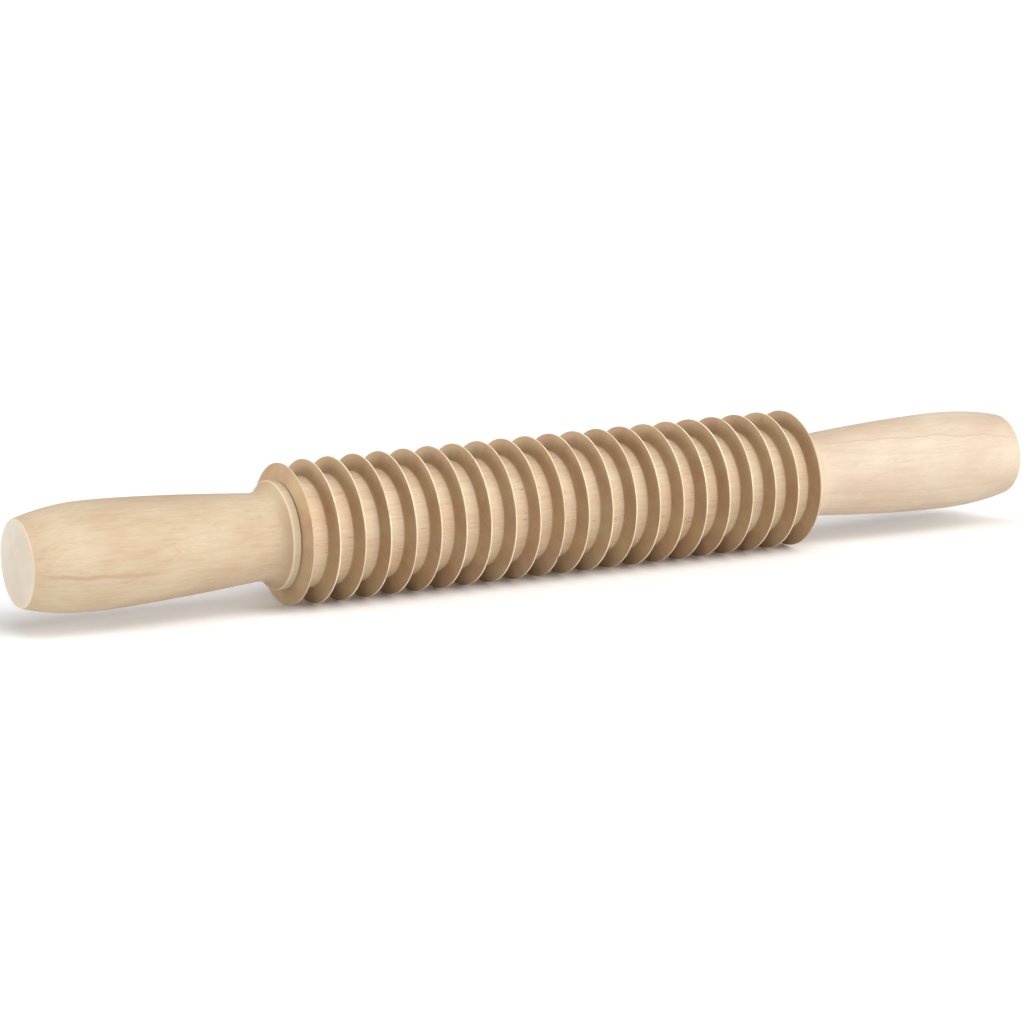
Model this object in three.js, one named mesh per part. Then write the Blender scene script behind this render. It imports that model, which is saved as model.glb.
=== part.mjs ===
// A grooved cutting rolling pin: a turned beech roller with sharp ring blades, which spins on a steel axle
// between two turned beech handles. Millimetres, +Z up. The axle lies along X and the origin is its middle.
// The blades are turned in one with the core. Each is a plain solid of its own around the core here, so that
// the grooves between them stay open all the way round.
import * as THREE from "three";

// Driving dimensions of the wooden parts
const OVERALL_LENGTH = 320;
const BLADE_COUNT = 22;
const BLADE_PITCH = 7.8;
const BLADE_RADIUS = 20.1;
const BLADE_RIM_WIDTH = 0.5;
const BLADE_BASE_WIDTH = 2.7;
const CORE_RADIUS = 15.3;
const ROOT_GAP = 0.02; // radial, between a blade's solid and the core's
const END_GAP = 0.3; // between the roller's end face and the handle's collar, so that the roller turns freely

const COLLAR_RADIUS = 15.2;
const COLLAR_WIDTH = 2.2; // the collar's straight land, next to the roller
const COVE_WIDTH = 5.5; // the hollow from the collar's rim down to the neck
const NECK_RADIUS = 12.2;

// The two handles are turned by hand and swell a little differently. bellyFromEnd is the distance from the
// handle's thickest place to its flat end, swell is how far before the thickest place the handle is nearly as
// thick, and shoulder is how far after it.
const LEFT_SHAPE = { bellyRadius: 15, bellyFromEnd: 20, swell: 16, shoulder: 10, endRadius: 12 };
const RIGHT_SHAPE = { bellyRadius: 14.5, bellyFromEnd: 23, swell: 19, shoulder: 12.5, endRadius: 11.8 };

// Driving dimensions of the axle and its bearings
const AXLE_RADIUS = 4;
const AXLE_CHAMFER = 0.6;
const AXLE_IN_HANDLE = 44;
const GLUE_GAP = 0.05; // radial film of glue between the axle and the handle's blind hole
const HOLE_SPARE = 0.6; // room left at the bottom of the blind hole
const RUNNING_BORE_RADIUS = 4.08; // of the bushings and washers, which turn on the axle
const SLEEVE_RADIUS = 8;
const SLEEVE_LENGTH = 16;
const FLANGE_RADIUS = 11;
const FLANGE_WIDTH = 1.5;
const SEAT_GAP = 0.05; // between a bushing and its seat in the roller
const RECESS_GAP = 0.1;
const ROLLER_BORE_RADIUS = 5;
const WASHER_RADIUS = 9;
const WASHER_WIDTH = 0.9;
const WASHER_RECESS_RADIUS = 9.3;
const WASHER_RECESS_DEPTH = 0.8;

const WOOD_SIDES = 36;
const METAL_SIDES = 24;

// Places along X that follow from them
const HALF_LENGTH = OVERALL_LENGTH / 2;
const ROLLER_HALF = ((BLADE_COUNT - 1) * BLADE_PITCH + BLADE_BASE_WIDTH) / 2;
const COLLAR_FACE = ROLLER_HALF + END_GAP;
const COLLAR_RIM = COLLAR_FACE + COLLAR_WIDTH;
const NECK_START = COLLAR_RIM + COVE_WIDTH;
const AXLE_HALF = COLLAR_FACE + AXLE_IN_HANDLE;
const FLANGE_OUTER = ROLLER_HALF - SEAT_GAP;
const WASHER_OUTER = FLANGE_OUTER + RECESS_GAP + WASHER_WIDTH;

const beech = new THREE.MeshStandardMaterial({ color: 0xdcc3a0, roughness: 0.62, metalness: 0 });
const steel = new THREE.MeshStandardMaterial({ color: 0xb9bcc0, roughness: 0.32, metalness: 1 });
const nylon = new THREE.MeshStandardMaterial({ color: 0xe9e6dc, roughness: 0.45, metalness: 0 });

// A solid turned about the X axis. The outline is a list of [x, radius], and runs towards +X on the outside.
function turned(name, outline, sides, material) {
  const profile = outline.map(([x, radius]) => new THREE.Vector2(radius, x));
  const flatDown = Math.PI / sides; // puts the middle of a facet, and not a corner, at the lowest place
  const geometry = new THREE.LatheGeometry(profile, sides, flatDown);
  geometry.rotateZ(-Math.PI / 2); // the lathe turns about Y, and the part lies along X
  const mesh = new THREE.Mesh(geometry, material);
  mesh.name = name;
  return mesh;
}

// The same solid at the other end of the pin.
function atLeftEnd(mesh) {
  mesh.rotation.z = Math.PI;
  return mesh;
}

// Points of a quadratic curve as [x, radius], without its first point.
function curve(start, control, end, steps) {
  const points = new THREE.QuadraticBezierCurve(
    new THREE.Vector2(...start),
    new THREE.Vector2(...control),
    new THREE.Vector2(...end),
  ).getPoints(steps);
  return points.slice(1).map((p) => [p.x, p.y]);
}

// The bore of the roller from one end face to the middle: a recess for the bushing's flange, then its sleeve's seat.
function boreEnd(side) {
  const recess = ROLLER_HALF - FLANGE_WIDTH - 2 * SEAT_GAP;
  const seat = FLANGE_OUTER - SLEEVE_LENGTH - SEAT_GAP;
  return [
    [side * ROLLER_HALF, FLANGE_RADIUS + RECESS_GAP],
    [side * recess, FLANGE_RADIUS + RECESS_GAP],
    [side * recess, SLEEVE_RADIUS + SEAT_GAP],
    [side * seat, SLEEVE_RADIUS + SEAT_GAP],
    [side * seat, ROLLER_BORE_RADIUS],
  ];
}

// The roller without its blades, bored through for the axle and its bushings.
function rollerCore() {
  const start = [-ROLLER_HALF, CORE_RADIUS];
  const end = [ROLLER_HALF, CORE_RADIUS];
  return turned("roller_core", [start, end, ...boreEnd(1), ...boreEnd(-1).reverse(), start], WOOD_SIDES, beech);
}

// One of the roller's blades: a ring with a narrow rim and sloping sides. Number 1 is at the left end.
function blade(number) {
  const root = CORE_RADIUS + ROOT_GAP;
  const outline = [
    [-BLADE_BASE_WIDTH / 2, root],
    [-BLADE_RIM_WIDTH / 2, BLADE_RADIUS],
    [BLADE_RIM_WIDTH / 2, BLADE_RADIUS],
    [BLADE_BASE_WIDTH / 2, root],
    [-BLADE_BASE_WIDTH / 2, root],
  ];
  const mesh = turned(`blade_${String(number).padStart(2, "0")}`, outline, WOOD_SIDES, beech);
  mesh.position.x = (number - (BLADE_COUNT + 1) / 2) * BLADE_PITCH;
  return mesh;
}

// A handle as it lies at the right end: collar, cove, neck, belly and flat end, with the axle's blind hole.
function handle(name, { bellyRadius, bellyFromEnd, swell, shoulder, endRadius }) {
  const rim = [COLLAR_RIM, COLLAR_RADIUS];
  const neck = [NECK_START, NECK_RADIUS];
  const belly = [HALF_LENGTH - bellyFromEnd, bellyRadius];
  const holeRadius = AXLE_RADIUS + GLUE_GAP;
  const recessFloor = COLLAR_FACE + WASHER_RECESS_DEPTH;
  const outline = [
    [AXLE_HALF + HOLE_SPARE, 0],
    [AXLE_HALF + HOLE_SPARE, holeRadius],
    [recessFloor, holeRadius],
    [recessFloor, WASHER_RECESS_RADIUS],
    [COLLAR_FACE, WASHER_RECESS_RADIUS],
    [COLLAR_FACE, COLLAR_RADIUS],
    rim,
    ...curve(rim, [COLLAR_RIM + COVE_WIDTH / 2, NECK_RADIUS], neck, 4),
    ...curve(neck, [belly[0] - swell, bellyRadius], belly, 6),
    ...curve(belly, [belly[0] + shoulder, bellyRadius], [HALF_LENGTH, endRadius], 6),
    [HALF_LENGTH, 0],
  ];
  return turned(name, outline, WOOD_SIDES, beech);
}

function axleRod() {
  const outline = [
    [-AXLE_HALF, 0],
    [-AXLE_HALF, AXLE_RADIUS - AXLE_CHAMFER],
    [-AXLE_HALF + AXLE_CHAMFER, AXLE_RADIUS],
    [AXLE_HALF - AXLE_CHAMFER, AXLE_RADIUS],
    [AXLE_HALF, AXLE_RADIUS - AXLE_CHAMFER],
    [AXLE_HALF, 0],
  ];
  return turned("axle_rod", outline, METAL_SIDES, steel);
}

// A flanged sleeve bushing as it lies at the right end, pressed into the roller with its flange flush.
function bushing(name) {
  const inner = FLANGE_OUTER - SLEEVE_LENGTH;
  const flangeInner = FLANGE_OUTER - FLANGE_WIDTH;
  const outline = [
    [inner, RUNNING_BORE_RADIUS],
    [inner, SLEEVE_RADIUS],
    [flangeInner, SLEEVE_RADIUS],
    [flangeInner, FLANGE_RADIUS],
    [FLANGE_OUTER, FLANGE_RADIUS],
    [FLANGE_OUTER, RUNNING_BORE_RADIUS],
    [inner, RUNNING_BORE_RADIUS],
  ];
  return turned(name, outline, METAL_SIDES, nylon);
}

// A thrust washer as it lies at the right end, loose on the axle in the recess of the handle's collar.
function thrustWasher(name) {
  const inner = WASHER_OUTER - WASHER_WIDTH;
  const outline = [
    [inner, RUNNING_BORE_RADIUS],
    [inner, WASHER_RADIUS],
    [WASHER_OUTER, WASHER_RADIUS],
    [WASHER_OUTER, RUNNING_BORE_RADIUS],
    [inner, RUNNING_BORE_RADIUS],
  ];
  return turned(name, outline, METAL_SIDES, steel);
}

const pin = new THREE.Group();
for (let number = 1; number <= BLADE_COUNT; number++) {
  pin.add(blade(number));
}
pin.add(
  rollerCore(),
  axleRod(),
  bushing("right_bushing"),
  atLeftEnd(bushing("left_bushing")),
  thrustWasher("right_thrust_washer"),
  atLeftEnd(thrustWasher("left_thrust_washer")),
  handle("right_handle", RIGHT_SHAPE),
  atLeftEnd(handle("left_handle", LEFT_SHAPE)),
);

export default pin;
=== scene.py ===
"""A grooved cutting rolling pin, dressed for display.

A turned beech roller with sharp ring blades spins on a steel axle between two turned beech handles. Every
piece is turned about the X axis: a vertex bevel rounds a coarse outline, and a screw modifier turns it.
Lengths are in metres, and angles in radians.
"""

import logging
import math
import random
from collections.abc import Iterable, Sequence
from dataclasses import dataclass
from enum import Enum

import bpy
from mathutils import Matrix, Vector


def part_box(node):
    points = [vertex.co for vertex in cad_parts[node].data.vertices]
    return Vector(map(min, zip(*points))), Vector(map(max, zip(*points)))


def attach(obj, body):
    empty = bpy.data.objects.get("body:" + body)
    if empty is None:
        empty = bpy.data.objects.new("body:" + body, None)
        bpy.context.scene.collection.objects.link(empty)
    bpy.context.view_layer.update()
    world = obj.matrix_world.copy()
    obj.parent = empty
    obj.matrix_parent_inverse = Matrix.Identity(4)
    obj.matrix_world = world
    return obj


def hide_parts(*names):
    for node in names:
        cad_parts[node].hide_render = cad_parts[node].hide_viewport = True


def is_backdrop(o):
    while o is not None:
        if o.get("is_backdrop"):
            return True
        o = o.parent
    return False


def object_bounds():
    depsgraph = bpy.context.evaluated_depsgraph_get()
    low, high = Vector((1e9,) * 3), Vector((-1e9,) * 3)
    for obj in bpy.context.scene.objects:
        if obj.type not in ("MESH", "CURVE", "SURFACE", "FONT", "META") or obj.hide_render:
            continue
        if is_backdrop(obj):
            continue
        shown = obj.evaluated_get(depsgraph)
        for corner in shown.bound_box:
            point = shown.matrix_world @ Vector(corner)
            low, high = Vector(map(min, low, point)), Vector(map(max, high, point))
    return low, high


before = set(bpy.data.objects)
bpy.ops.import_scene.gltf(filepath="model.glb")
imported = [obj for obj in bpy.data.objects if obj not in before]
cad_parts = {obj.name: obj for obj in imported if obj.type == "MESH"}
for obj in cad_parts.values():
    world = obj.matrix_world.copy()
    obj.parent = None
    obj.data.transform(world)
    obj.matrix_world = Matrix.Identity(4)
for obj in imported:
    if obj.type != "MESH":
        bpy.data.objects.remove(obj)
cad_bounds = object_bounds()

LOG = logging.getLogger("rolling_pin")
MM = 0.001
MERGE_DISTANCE = 0.001 * MM
WOOD_FACETS = 36  # round the axis of a wooden CAD solid
METAL_FACETS = 24  # round the axis of a steel or nylon one
BEYOND_PIN = 0.5  # a length that no place on the pin reaches
ACROSS_AXLE = (0, 1, 1)  # keeps only the parts of a place that lie across the axle
COLUMN_WIDTH = 260  # between a material's columns of nodes
ROW_HEIGHT = 230


class End(Enum):
    """An end of the pin, as the sign of its place along X."""

    LEFT = -1
    RIGHT = 1

    def named(self, part: str) -> str:
        """Names a part or body at this end as the CAD does."""
        return f"{self.name.lower()}_{part}"


Colour = tuple[float, float, float, float]


def colour(red: int, green: int, blue: int) -> Colour:
    """Turns a colour as it is seen, 0 to 255, into the linear one that a shader takes, by the sRGB curve.

    Args:
        red: The red share.
        green: The green share.
        blue: The blue share.

    Returns:
        The linear colour, opaque.
    """
    shares = [share / 255 for share in (red, green, blue)]
    linear = [s / 12.92 if s <= 0.04045 else ((s + 0.055) / 1.055) ** 2.4 for s in shares]
    return (linear[0], linear[1], linear[2], 1.0)


def full_radius(node: str, facets: int) -> float:
    """Finds the radius that a faceted CAD solid of revolution stands for.

    Args:
        node: The CAD node.
        facets: How many flat sides it has round the axis. Flats face Y and Z.

    Returns:
        The distance from the axis to a corner between two flats.
    """
    low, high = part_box(node)
    return (high[2] - low[2]) / 2 / math.cos(math.pi / facets)


@dataclass(frozen=True)
class Corner:
    """A corner of a turned outline.

    Args:
        along: Its place along X.
        radius: Its distance from the axis.
        rounding: How far from the corner its rounding starts.
    """

    along: float
    radius: float
    rounding: float = 0.0


def sweep(start: Corner, pull: Corner, end: Corner, steps: int) -> list[Corner]:
    """Lays corners on a quadratic curve, for a round stretch of an outline.

    Args:
        start: Where the curve starts. It isn't repeated in the result.
        pull: The point that bends the curve.
        end: Where the curve ends.
        steps: How many corners to lay.

    Returns:
        The corners, the last of which is the end.
    """
    corners = []
    for step in range(1, steps):
        t = step / steps
        shares = ((1 - t) ** 2, 2 * t * (1 - t), t * t)
        along = shares[0] * start.along + shares[1] * pull.along + shares[2] * end.along
        radius = shares[0] * start.radius + shares[1] * pull.radius + shares[2] * end.radius
        corners.append(Corner(along, radius))
    return corners + [end]


def turn(name: str, outline: Sequence[Corner], facets: int, segments: int = 3) -> bpy.types.Object:
    """Turns an outline about the X axis into a closed solid.

    Args:
        name: The piece's name.
        outline: Its corners. It closes on itself, unless it starts and ends on the axis.
        facets: Facets round the axis.
        segments: Facets across each rounded corner.

    Returns:
        The piece, at the origin, with its modifiers live.
    """
    count = len(outline)
    open_ended = outline[0].radius == 0 and outline[-1].radius == 0
    edges = [(i, i + 1) for i in range(count - 1)]
    if not open_ended:
        edges.append((count - 1, 0))
    mesh = bpy.data.meshes.new(name)
    mesh.from_pydata([(corner.along, 0, corner.radius) for corner in outline], edges, [])
    widest = max(corner.rounding for corner in outline)
    weights = mesh.attributes.new("bevel_weight_vert", "FLOAT", "POINT")
    for item, corner in zip(weights.data, outline):
        item.value = corner.rounding / widest
    piece = bpy.data.objects.new(name, mesh)
    bpy.context.scene.collection.objects.link(piece)

    rounding = piece.modifiers.new("rounded_corners", "BEVEL")
    rounding.affect = "VERTICES"
    rounding.limit_method = "WEIGHT"
    rounding.width = widest
    rounding.segments = segments
    rounding.use_clamp_overlap = False

    turning = piece.modifiers.new("turning", "SCREW")
    turning.axis = "X"
    turning.steps = facets
    turning.render_steps = facets
    turning.use_merge_vertices = True
    turning.merge_threshold = MERGE_DISTANCE
    turning.use_normal_calculate = True
    turning.use_smooth_shade = True
    return piece


def even_shading(piece: bpy.types.Object) -> None:
    """Keeps flat faces flat to the eye beside their rounded corners."""
    shading = piece.modifiers.new("even_shading", "WEIGHTED_NORMAL")
    shading.keep_sharp = True


def settle(piece: bpy.types.Object) -> None:
    """Applies a piece's modifiers to its mesh.

    Args:
        piece: The piece.
    """
    graph = bpy.context.evaluated_depsgraph_get()
    mesh = bpy.data.meshes.new_from_object(piece.evaluated_get(graph))
    piece.modifiers.clear()
    piece.data = mesh


def frame_nodes(nodes: bpy.types.Nodes, effects: dict[str, list[bpy.types.Node]]) -> None:
    """Lays a material's nodes out in columns and frames each column with the name of its effect.

    Args:
        nodes: The material's nodes.
        effects: Each effect's name, and its nodes.
    """
    for column, (effect, members) in enumerate(effects.items()):
        surround = nodes.new("NodeFrame")
        surround.label = effect
        for row, node in enumerate(members):
            node.parent = surround
            node.location = (column * COLUMN_WIDTH, -row * ROW_HEIGHT)


@dataclass(frozen=True)
class Streak:
    """A darker line of wood that runs along a piece, as a wavy line on its surface.

    Args:
        start: Where it starts along X.
        end: Where it ends along X.
        angle: Its place round the piece at the start, from the front upwards.
        twist: How far round it drifts from its start to its end.
        width: Its width as an angle.
        waver: How far it wavers, as an angle.
        strength: How much it shows, from 0 to 1.
        tint: Its colour.
        faint_before: How far before its start it begins to show.
        full_after: How far after its start it shows fully.
        fade_length: How far before its end it begins to fade.
    """

    start: float
    end: float
    angle: float
    twist: float
    width: float
    waver: float
    strength: float
    tint: Colour
    faint_before: float = 2 * MM
    full_after: float = 6 * MM
    fade_length: float = 16 * MM


@dataclass(frozen=True)
class BeechFinish:
    """Turned and sanded beech.

    Args:
        name: The material's name.
        pale: The wood between growth rings, along the grain.
        late: The wood of a growth ring's dark line.
        fibre: The darker fibres.
        fleck: The short dark ray flecks.
        glint: The short light ray flecks.
        end_pale: Cut ends of the fibres, at their lightest.
        end_deep: Cut ends of the fibres, at their darkest.
        end_olive: The greenish tint of some cut ends.
        sawn_face: A flat end that is cut square to the grain.
        blush: The pinkish tint that comes and goes in patches.
        rubbed_and_highlit: Edges that are rubbed pale and smooth.
        pith: Where the middle of the tree lay, across the grain.
        lean: How far the grain leans from the turning axis.
        ring_pitch: The distance from one growth ring to the next.
        slip: A shift along the grain, so that two pieces don't have the same figure.
        rim_radius: Past this radius the wood is a rim worn pale, with a painted highlight.
        rubbed_and_highlit_rings: Rings of edge worn pale, with a painted highlight, each as a place along
            X, on either side, and a radius.
        tone_pitch: The length along X over which the end grain's tone stays the same.
        tool_share: How much the tool's scores show in the surface.
        streak: The one darker line that the piece has.
        rim_fade: How far in from a rim its wear and painted highlight fade out.
        edge_rubbed_and_highlit: How far from a worn edge its wear and painted highlight are full.
        edge_fade: How far from a worn edge its wear and painted highlight have faded out.
        relief: How deep the fibres, flecks and scores are.
    """

    name: str
    pale: Colour
    late: Colour
    fibre: Colour
    fleck: Colour
    glint: Colour
    end_pale: Colour
    end_deep: Colour
    end_olive: Colour
    sawn_face: Colour
    blush: Colour
    rubbed_and_highlit: Colour
    pith: tuple[float, float]
    lean: float
    ring_pitch: float
    slip: float
    rim_radius: float
    rubbed_and_highlit_rings: tuple[tuple[float, float], ...]
    tone_pitch: float
    tool_share: float
    streak: Streak
    rim_fade: float = 0.18 * MM
    edge_rubbed_and_highlit: float = 0.1 * MM
    edge_fade: float = 0.5 * MM
    relief: float = 0.08 * MM


def beech(finish: BeechFinish) -> bpy.types.Material:
    """Makes beech: growth rings, fibres, ray flecks, end grain, turning marks, and edges worn pale with a
    painted highlight.

    Args:
        finish: The colours and the lie of the wood.

    Returns:
        The material.
    """
    material = bpy.data.materials.new(finish.name)
    material.use_nodes = True
    nodes = material.node_tree.nodes
    links = material.node_tree.links
    nodes.clear()

    # Where the surface lies in the wood
    coords = nodes.new("ShaderNodeTexCoord")
    coords.label = "Place on the piece"
    split = nodes.new("ShaderNodeSeparateXYZ")
    split.label = "Along and across the grain"
    across = nodes.new("ShaderNodeVectorMath")
    across.label = "Across the grain only"
    radius = nodes.new("ShaderNodeVectorMath")
    radius.label = "Distance from the axle"
    tree = nodes.new("ShaderNodeMapping")
    tree.label = "Middle of the tree"
    tree_across = nodes.new("ShaderNodeVectorMath")
    tree_across.label = "Across the tree only"
    tree_distance = nodes.new("ShaderNodeVectorMath")
    tree_distance.label = "Distance from the pith"
    tree_split = nodes.new("ShaderNodeSeparateXYZ")
    tree_split.label = "Tree's two directions"

    # Growth rings
    drift_stretch = nodes.new("ShaderNodeMapping")
    drift_stretch.label = "Rings drift slowly along the grain"
    drift = nodes.new("ShaderNodeTexNoise")
    drift.label = "Wavy growth rings"
    drift_amount = nodes.new("ShaderNodeMath")
    drift_amount.label = "How wavy"
    years = nodes.new("ShaderNodeMath")
    years.label = "Years from the pith"
    season = nodes.new("ShaderNodeMath")
    season.label = "Part of the year"
    season_ramp = nodes.new("ShaderNodeValToRGB")
    season_ramp.label = "Late wood's fine dark line"
    year_number = nodes.new("ShaderNodeMath")
    year_number.label = "Whole years"
    year_strength = nodes.new("ShaderNodeTexWhiteNoise")
    year_strength.label = "Some years show more"
    ring_tone = nodes.new("ShaderNodeMath")
    ring_tone.label = "Growth ring tone"

    # Fibres
    fibre_stretch = nodes.new("ShaderNodeMapping")
    fibre_stretch.label = "Long thin fibres"
    fibre = nodes.new("ShaderNodeTexNoise")
    fibre.label = "Fibre streaks"
    fibre_tone = nodes.new("ShaderNodeMapRange")
    fibre_tone.label = "Darker fibres"

    # Ray flecks
    fleck_stretch = nodes.new("ShaderNodeMapping")
    fleck_stretch.label = "Short dashes along the grain"
    fleck_cells = nodes.new("ShaderNodeTexVoronoi")
    fleck_cells.label = "One fleck to a cell"
    fleck_shape = nodes.new("ShaderNodeMapRange")
    fleck_shape.label = "Lens-shaped fleck"
    fleck_colour = nodes.new("ShaderNodeSeparateColor")
    fleck_colour.label = "Chance of each cell"
    fleck_pick = nodes.new("ShaderNodeMapRange")
    fleck_pick.label = "Some cells have a dark one"
    glint_pick = nodes.new("ShaderNodeMapRange")
    glint_pick.label = "Some cells have a light one"
    fleck_patch = nodes.new("ShaderNodeTexNoise")
    fleck_patch.label = "Flecks gather in patches"
    fleck_patch_tone = nodes.new("ShaderNodeMapRange")
    fleck_patch_tone.label = "Edge of a patch"
    fleck_some = nodes.new("ShaderNodeMath")
    fleck_some.label = "Picked flecks"
    fleck_tone = nodes.new("ShaderNodeMath")
    fleck_tone.label = "Dark flecks in patches"
    glint_tone = nodes.new("ShaderNodeMath")
    glint_tone.label = "Light flecks"

    # The streak
    around = nodes.new("ShaderNodeMath")
    around.label = "Front, to measure round from"
    angle = nodes.new("ShaderNodeMath")
    angle.label = "Place round the piece"
    course = nodes.new("ShaderNodeMapRange")
    course.label = "Streak's course along the piece"
    waver_stretch = nodes.new("ShaderNodeMath")
    waver_stretch.label = "Slow along the piece"
    waver = nodes.new("ShaderNodeTexNoise")
    waver.label = "Streak wavers"
    wavered = nodes.new("ShaderNodeMath")
    wavered.label = "Wavering course"
    off_course = nodes.new("ShaderNodeMath")
    off_course.label = "Round from the streak"
    off_size = nodes.new("ShaderNodeMath")
    off_size.label = "Either side of the streak"
    streak_line = nodes.new("ShaderNodeMapRange")
    streak_line.label = "Soft-edged line"
    streak_start = nodes.new("ShaderNodeMapRange")
    streak_start.label = "Fades in at its start"
    streak_end = nodes.new("ShaderNodeMapRange")
    streak_end.label = "Fades out at its end"
    streak_length = nodes.new("ShaderNodeMath")
    streak_length.label = "Streak's length"
    streak_tone = nodes.new("ShaderNodeMath")
    streak_tone.label = "Streak tone"

    # End grain
    facing = nodes.new("ShaderNodeSeparateXYZ")
    facing.label = "Way the surface faces"
    facing_size = nodes.new("ShaderNodeMath")
    facing_size.label = "Either end"
    end_share = nodes.new("ShaderNodeMapRange")
    end_share.label = "Share of cut fibre ends"
    face_share = nodes.new("ShaderNodeMapRange")
    face_share.label = "Square-cut flat end"
    ray_angle = nodes.new("ShaderNodeMath")
    ray_angle.label = "Direction of the rays"
    ray_place = nodes.new("ShaderNodeCombineXYZ")
    ray_place.label = "Round and out from the pith"
    ray_stretch = nodes.new("ShaderNodeMapping")
    ray_stretch.label = "Fine lines out from the pith"
    ray = nodes.new("ShaderNodeTexNoise")
    ray.label = "Rays on the end grain"
    tear = nodes.new("ShaderNodeTexNoise")
    tear.label = "Soft patches in the end grain"
    end_mottle = nodes.new("ShaderNodeMath")
    end_mottle.label = "Rays and soft patches"
    blade_number = nodes.new("ShaderNodeMath")
    blade_number.label = "Tone stretches along the piece"
    blade_whole = nodes.new("ShaderNodeMath")
    blade_whole.label = "Number of the stretch"
    blade_tone = nodes.new("ShaderNodeTexWhiteNoise")
    blade_tone.label = "Each stretch's own tone"
    end_tone = nodes.new("ShaderNodeMath")
    end_tone.label = "End grain tone"
    olive_noise = nodes.new("ShaderNodeTexNoise")
    olive_noise.label = "Greenish and reddish patches"
    olive_tone = nodes.new("ShaderNodeMapRange")
    olive_tone.label = "Strength of the green"

    # Turning marks
    tool_place = nodes.new("ShaderNodeCombineXYZ")
    tool_place.label = "Along and out, the same all round"
    tool_marks = nodes.new("ShaderNodeTexNoise")
    tool_marks.label = "Fine scores of the turning tool"
    tool_depth = nodes.new("ShaderNodeMath")
    tool_depth.label = "Depth of the scores"

    # Blush
    blush_stretch = nodes.new("ShaderNodeMapping")
    blush_stretch.label = "Patches longer than wide"
    blush_noise = nodes.new("ShaderNodeTexNoise")
    blush_noise.label = "Warm and cool patches"
    blush_tone = nodes.new("ShaderNodeMapRange")
    blush_tone.label = "Strength of the blush"

    # Edges worn pale, with a painted highlight along the blade rims and turned edges
    rim = nodes.new("ShaderNodeMapRange")
    rim.label = "Rubbed and highlit blade rims"
    rim_wear_and_highlight = nodes.new("ShaderNodeMapRange")
    rim_wear_and_highlight.label = "Rims rubbed more in places"
    rim_tone = nodes.new("ShaderNodeMath")
    rim_tone.label = "Uneven rubbed rims"
    either_side = nodes.new("ShaderNodeMath")
    either_side.label = "Either side of the middle"
    edge_place = nodes.new("ShaderNodeCombineXYZ")
    edge_place.label = "Along and out"
    edge_distances = []
    edge_shares = []
    edge_unions = []
    for _ in finish.rubbed_and_highlit_rings:
        distance = nodes.new("ShaderNodeVectorMath")
        distance.label = "Distance from a turned edge"
        edge_distances.append(distance)
        share = nodes.new("ShaderNodeMapRange")
        share.label = "Rubbed and highlit edge"
        edge_shares.append(share)
        union = nodes.new("ShaderNodeMath")
        union.label = "With the other rubbed edges"
        edge_unions.append(union)

    # Colour
    with_rings = nodes.new("ShaderNodeMix")
    with_rings.label = "Growth rings on pale wood"
    with_fibres = nodes.new("ShaderNodeMix")
    with_fibres.label = "Fibres"
    with_flecks = nodes.new("ShaderNodeMix")
    with_flecks.label = "Dark ray flecks"
    with_glints = nodes.new("ShaderNodeMix")
    with_glints.label = "Light ray flecks"
    end_colour = nodes.new("ShaderNodeMix")
    end_colour.label = "End grain"
    end_tinted = nodes.new("ShaderNodeMix")
    end_tinted.label = "Greenish end grain"
    end_faced = nodes.new("ShaderNodeMix")
    end_faced.label = "Square-cut flat end"
    wood_colour = nodes.new("ShaderNodeMix")
    wood_colour.label = "Side grain or end grain"
    blushed = nodes.new("ShaderNodeMix")
    blushed.label = "Blush"
    streaked = nodes.new("ShaderNodeMix")
    streaked.label = "Streak"
    rubbed_and_highlit_colour = nodes.new("ShaderNodeMix")
    rubbed_and_highlit_colour.label = "Pale rubbed edges"

    # Surface
    fibre_height = nodes.new("ShaderNodeMath")
    fibre_height.label = "Raised fibres under the tool marks"
    wood_height = nodes.new("ShaderNodeMath")
    wood_height.label = "Flecks stand in"
    bump = nodes.new("ShaderNodeBump")
    bump.label = "Fine surface"
    sheen = nodes.new("ShaderNodeMapRange")
    sheen.label = "Dull fibres, smoother wood"
    surface = nodes.new("ShaderNodeBsdfPrincipled")
    surface.label = "Bare beech"
    output = nodes.new("ShaderNodeOutputMaterial")
    output.label = finish.name

    frame_nodes(nodes, {
        "Place in the wood": [coords, split, across, radius],
        "Place in the tree": [tree, tree_across, tree_distance, tree_split],
        "Waves of the growth rings": [drift_stretch, drift, drift_amount, years, season],
        "Growth rings": [season_ramp, year_number, year_strength, ring_tone],
        "Fibres": [fibre_stretch, fibre, fibre_tone],
        "Fleck shapes": [fleck_stretch, fleck_cells, fleck_shape, fleck_colour, fleck_pick, glint_pick],
        "Ray flecks": [fleck_patch, fleck_patch_tone, fleck_some, fleck_tone, glint_tone],
        "Streak's course": [around, angle, course, waver_stretch, waver, wavered, off_course, off_size],
        "Streak": [streak_line, streak_start, streak_end, streak_length, streak_tone],
        "Share of end grain": [facing, facing_size, end_share, face_share],
        "Rays": [ray_angle, ray_place, ray_stretch, ray],
        "End grain tone": [tear, end_mottle, blade_number, blade_whole, blade_tone, end_tone],
        "Green of the end grain": [olive_noise, olive_tone],
        "Turning marks": [tool_place, tool_marks, tool_depth],
        "Blush": [blush_stretch, blush_noise, blush_tone],
        "Rubbed and highlit rims": [rim, rim_wear_and_highlight, rim_tone, either_side, edge_place],
        "Rubbed and highlit edges": [*edge_distances, *edge_shares, *edge_unions],
        "Side grain colour": [with_rings, with_fibres, with_flecks, with_glints],
        "End grain colour": [end_colour, end_tinted, end_faced],
        "Whole colour": [wood_colour, blushed, streaked, rubbed_and_highlit_colour],
        "Surface": [fibre_height, wood_height, bump, sheen],
        "Output": [surface, output],
    })

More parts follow.
